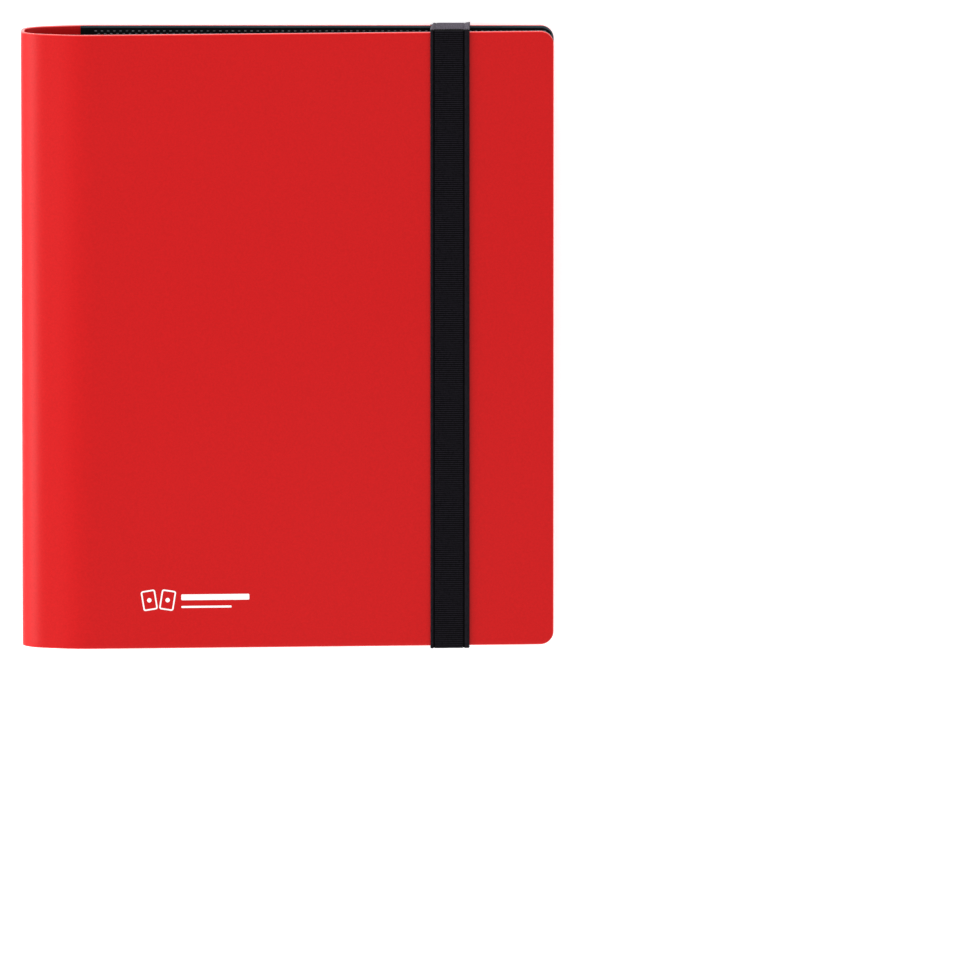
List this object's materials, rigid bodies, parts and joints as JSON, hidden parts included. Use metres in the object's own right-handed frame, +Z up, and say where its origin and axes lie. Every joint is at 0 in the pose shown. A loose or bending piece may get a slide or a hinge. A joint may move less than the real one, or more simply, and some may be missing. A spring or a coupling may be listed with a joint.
{
  "type": "trading card binder",
  "caption": "Side-loading pocket album for trading cards, with a soft creased cover, black pocket leaves on a spine binding and a woven elastic strap.",
  "frame": {"origin": "under the middle of the closed album, on the surface it lies on", "axes": "+X from the spine to the fore edge, +Y along the spine to the top edge, +Z up through the covers, from the back cover to the front cover"},
  "size_m": [0.1794, 0.2118, 0.022],
  "materials": {
    "cover_red": "fine-grained matte polypropylene",
    "liner_black": "fine-grained matte black lining sheet",
    "leaf_black": "soft matte black leaf",
    "pocket_film": "clear glossy film over the black leaf",
    "strap_elastic": "ribbed woven elastic"
  },
  "bodies": {
    "back_cover": {"back_cover_panel": "cover_red", "back_liner": "liner_black", "strap_top_anchor": "strap_elastic", "strap_bottom_anchor": "strap_elastic", "strap_top_leg": "strap_elastic", "strap_bottom_leg": "strap_elastic"},
    "spine_back_flank": {"spine_back_flank": "cover_red"},
    "spine_back_corner": {"spine_back_corner": "cover_red"},
    "spine_centre": {"spine_centre": "cover_red", "binding_bar": "leaf_black", "back_leaf_webs": "leaf_black", "front_leaf_webs": "leaf_black"},
    "spine_front_corner": {"spine_front_corner": "cover_red"},
    "spine_front_flank": {"spine_front_flank": "cover_red"},
    "front_cover": {"front_cover_panel": "cover_red", "front_liner": "liner_black"},
    "strap": {"strap_front_run": "strap_elastic"},
    "leaf_01": {"leaf_01_backing": "leaf_black", "leaf_01_pockets": "pocket_film"},
    "leaf_02": {"leaf_02_backing": "leaf_black", "leaf_02_pockets": "pocket_film"},
    "leaf_03": {"leaf_03_backing": "leaf_black", "leaf_03_pockets": "pocket_film"},
    "leaf_04": {"leaf_04_backing": "leaf_black", "leaf_04_pockets": "pocket_film"},
    "leaf_05": {"leaf_05_backing": "leaf_black", "leaf_05_pockets": "pocket_film"},
    "leaf_06": {"leaf_06_backing": "leaf_black", "leaf_06_pockets": "pocket_film"},
    "leaf_07": {"leaf_07_backing": "leaf_black", "leaf_07_pockets": "pocket_film"},
    "leaf_08": {"leaf_08_backing": "leaf_black", "leaf_08_pockets": "pocket_film"},
    "leaf_09": {"leaf_09_backing": "leaf_black", "leaf_09_pockets": "pocket_film"},
    "leaf_10": {"leaf_10_backing": "leaf_black", "leaf_10_pockets": "pocket_film"},
    "leaf_11": {"leaf_11_backing": "leaf_black", "leaf_11_pockets": "pocket_film"},
    "leaf_12": {"leaf_12_backing": "leaf_black", "leaf_12_pockets": "pocket_film"},
    "leaf_13": {"leaf_13_backing": "leaf_black", "leaf_13_pockets": "pocket_film"},
    "leaf_14": {"leaf_14_backing": "leaf_black", "leaf_14_pockets": "pocket_film"},
    "leaf_15": {"leaf_15_backing": "leaf_black", "leaf_15_pockets": "pocket_film"},
    "leaf_16": {"leaf_16_backing": "leaf_black", "leaf_16_pockets": "pocket_film"},
    "leaf_17": {"leaf_17_backing": "leaf_black", "leaf_17_pockets": "pocket_film"},
    "leaf_18": {"leaf_18_backing": "leaf_black", "leaf_18_pockets": "pocket_film"},
    "leaf_19": {"leaf_19_backing": "leaf_black", "leaf_19_pockets": "pocket_film"},
    "leaf_20": {"leaf_20_backing": "leaf_black", "leaf_20_pockets": "pocket_film"}
  },
  "joints": [
    {"name": "cover_open", "type": "hinge", "parent": "back_cover", "child": "front_cover", "pos_m": [-0.09612, 0, 0.01169], "axis": [0, -1, 0], "range_deg": [0, 183.2]},
    {"name": "back_panel_crease", "type": "hinge", "parent": "back_cover", "child": "spine_back_flank", "pos_m": [-0.07102, 0, 0], "axis": [0, -1, 0], "range_deg": [0, 12]},
    {"name": "back_flank_crease", "type": "hinge", "parent": "spine_back_flank", "child": "spine_back_corner", "pos_m": [-0.08667, 0, 0.00333], "axis": [0, -1, 0], "range_deg": [0, 38]},
    {"name": "back_corner_crease", "type": "hinge", "parent": "spine_back_corner", "child": "spine_centre", "pos_m": [-0.08975, 0, 0.007], "axis": [0, -1, 0], "range_deg": [0, 40]},
    {"name": "front_panel_crease", "type": "hinge", "parent": "front_cover", "child": "spine_front_flank", "pos_m": [-0.07102, 0, 0.02199], "axis": [0, -1, 0], "range_deg": [-15.2, 0]},
    {"name": "front_flank_crease", "type": "hinge", "parent": "spine_front_flank", "child": "spine_front_corner", "pos_m": [-0.08667, 0, 0.01867], "axis": [0, -1, 0], "range_deg": [-38, 0]},
    {"name": "leaf_01_turn", "type": "hinge", "parent": "spine_centre", "child": "leaf_01", "pos_m": [-0.08328, 0, 0.00647], "axis": [0, -1, 0], "range_deg": [-90, 0], "deforming": ["back_leaf_webs"]},
    {"name": "leaf_02_turn", "type": "hinge", "parent": "spine_centre", "child": "leaf_02", "pos_m": [-0.08303, 0, 0.00672], "axis": [0, -1, 0], "range_deg": [-90, 0]},
    {"name": "leaf_03_turn", "type": "hinge", "parent": "spine_centre", "child": "leaf_03", "pos_m": [-0.08278, 0, 0.00697], "axis": [0, -1, 0], "range_deg": [-90, 0]},
    {"name": "leaf_04_turn", "type": "hinge", "parent": "spine_centre", "child": "leaf_04", "pos_m": [-0.08253, 0, 0.00722], "axis": [0, -1, 0], "range_deg": [-90, 0]},
    {"name": "leaf_05_turn", "type": "hinge", "parent": "spine_centre", "child": "leaf_05", "pos_m": [-0.08228, 0, 0.00747], "axis": [0, -1, 0], "range_deg": [-90, 0]},
    {"name": "leaf_06_turn", "type": "hinge", "parent": "spine_centre", "child": "leaf_06", "pos_m": [-0.08203, 0, 0.00772], "axis": [0, -1, 0], "range_deg": [-90, 0]},
    {"name": "leaf_07_turn", "type": "hinge", "parent": "spine_centre", "child": "leaf_07", "pos_m": [-0.08178, 0, 0.00797], "axis": [0, -1, 0], "range_deg": [-90, 0]},
    {"name": "leaf_08_turn", "type": "hinge", "parent": "spine_centre", "child": "leaf_08", "pos_m": [-0.08153, 0, 0.00822], "axis": [0, -1, 0], "range_deg": [-90, 0]},
    {"name": "leaf_09_turn", "type": "hinge", "parent": "spine_centre", "child": "leaf_09", "pos_m": [-0.08128, 0, 0.00847], "axis": [0, -1, 0], "range_deg": [-90, 0]},
    {"name": "leaf_10_turn", "type": "hinge", "parent": "spine_centre", "child": "leaf_10", "pos_m": [-0.08103, 0, 0.00872], "axis": [0, -1, 0], "range_deg": [-90, 0]},
    {"name": "leaf_11_turn", "type": "hinge", "parent": "spine_centre", "child": "leaf_11", "pos_m": [-0.081, 0, 0.01378], "axis": [0, -1, 0], "range_deg": [0, 93.2]},
    {"name": "leaf_12_turn", "type": "hinge", "parent": "spine_centre", "child": "leaf_12", "pos_m": [-0.08123, 0, 0.01403], "axis": [0, -1, 0], "range_deg": [0, 93.2]},
    {"name": "leaf_13_turn", "type": "hinge", "parent": "spine_centre", "child": "leaf_13", "pos_m": [-0.08147, 0, 0.01428], "axis": [0, -1, 0], "range_deg": [0, 93.2]},
    {"name": "leaf_14_turn", "type": "hinge", "parent": "spine_centre", "child": "leaf_14", "pos_m": [-0.08171, 0, 0.01453], "axis": [0, -1, 0], "range_deg": [0, 93.2]},
    {"name": "leaf_15_turn", "type": "hinge", "parent": "spine_centre", "child": "leaf_15", "pos_m": [-0.08194, 0, 0.01478], "axis": [0, -1, 0], "range_deg": [0, 93.2]},
    {"name": "leaf_16_turn", "type": "hinge", "parent": "spine_centre", "child": "leaf_16", "pos_m": [-0.08218, 0, 0.01503], "axis": [0, -1, 0], "range_deg": [0, 93.2]},
    {"name": "leaf_17_turn", "type": "hinge", "parent": "spine_centre", "child": "leaf_17", "pos_m": [-0.08242, 0, 0.01528], "axis": [0, -1, 0], "range_deg": [0, 93.2]},
    {"name": "leaf_18_turn", "type": "hinge", "parent": "spine_centre", "child": "leaf_18", "pos_m": [-0.08265, 0, 0.01553], "axis": [0, -1, 0], "range_deg": [0, 93.2]},
    {"name": "leaf_19_turn", "type": "hinge", "parent": "spine_centre", "child": "leaf_19", "pos_m": [-0.08289, 0, 0.01578], "axis": [0, -1, 0], "range_deg": [0, 93.2]},
    {"name": "leaf_20_turn", "type": "hinge", "parent": "spine_centre", "child": "leaf_20", "pos_m": [-0.08313, 0, 0.01603], "axis": [0, -1, 0], "range_deg": [0, 93.2], "deforming": ["front_leaf_webs"]},
    {"name": "strap_flip", "type": "hinge", "parent": "back_cover", "child": "strap", "pos_m": [0.05454, 0, 0.00748], "axis": [0, 1, 0], "range_deg": [0, 176.8], "deforming": ["strap_front_run", "strap_top_leg", "strap_bottom_leg"]}
  ],
  "couplings": [
    {"joint": "back_panel_crease", "follows": "cover_open", "ratio": 0.065502},
    {"joint": "back_flank_crease", "follows": "cover_open", "ratio": 0.20742},
    {"joint": "back_corner_crease", "follows": "cover_open", "ratio": 0.21834},
    {"joint": "front_panel_crease", "follows": "cover_open", "ratio": -0.082969},
    {"joint": "front_flank_crease", "follows": "cover_open", "ratio": -0.20742},
    {"joint": "leaf_01_turn", "follows": "cover_open", "ratio": -0.49127},
    {"joint": "leaf_02_turn", "follows": "cover_open", "ratio": -0.49127},
    {"joint": "leaf_03_turn", "follows": "cover_open", "ratio": -0.49127},
    {"joint": "leaf_04_turn", "follows": "cover_open", "ratio": -0.49127},
    {"joint": "leaf_05_turn", "follows": "cover_open", "ratio": -0.49127},
    {"joint": "leaf_06_turn", "follows": "cover_open", "ratio": -0.49127},
    {"joint": "leaf_07_turn", "follows": "cover_open", "ratio": -0.49127},
    {"joint": "leaf_08_turn", "follows": "cover_open", "ratio": -0.49127},
    {"joint": "leaf_09_turn", "follows": "cover_open", "ratio": -0.49127},
    {"joint": "leaf_10_turn", "follows": "cover_open", "ratio": -0.49127},
    {"joint": "leaf_11_turn", "follows": "cover_open", "ratio": 0.50873},
    {"joint": "leaf_12_turn", "follows": "cover_open", "ratio": 0.50873},
    {"joint": "leaf_13_turn", "follows": "cover_open", "ratio": 0.50873},
    {"joint": "leaf_14_turn", "follows": "cover_open", "ratio": 0.50873},
    {"joint": "leaf_15_turn", "follows": "cover_open", "ratio": 0.50873},
    {"joint": "leaf_16_turn", "follows": "cover_open", "ratio": 0.50873},
    {"joint": "leaf_17_turn", "follows": "cover_open", "ratio": 0.50873},
    {"joint": "leaf_18_turn", "follows": "cover_open", "ratio": 0.50873},
    {"joint": "leaf_19_turn", "follows": "cover_open", "ratio": 0.50873},
    {"joint": "leaf_20_turn", "follows": "cover_open", "ratio": 0.50873},
    {"joint": "strap_flip", "follows": "cover_open", "ratio": 0.96507}
  ]
}
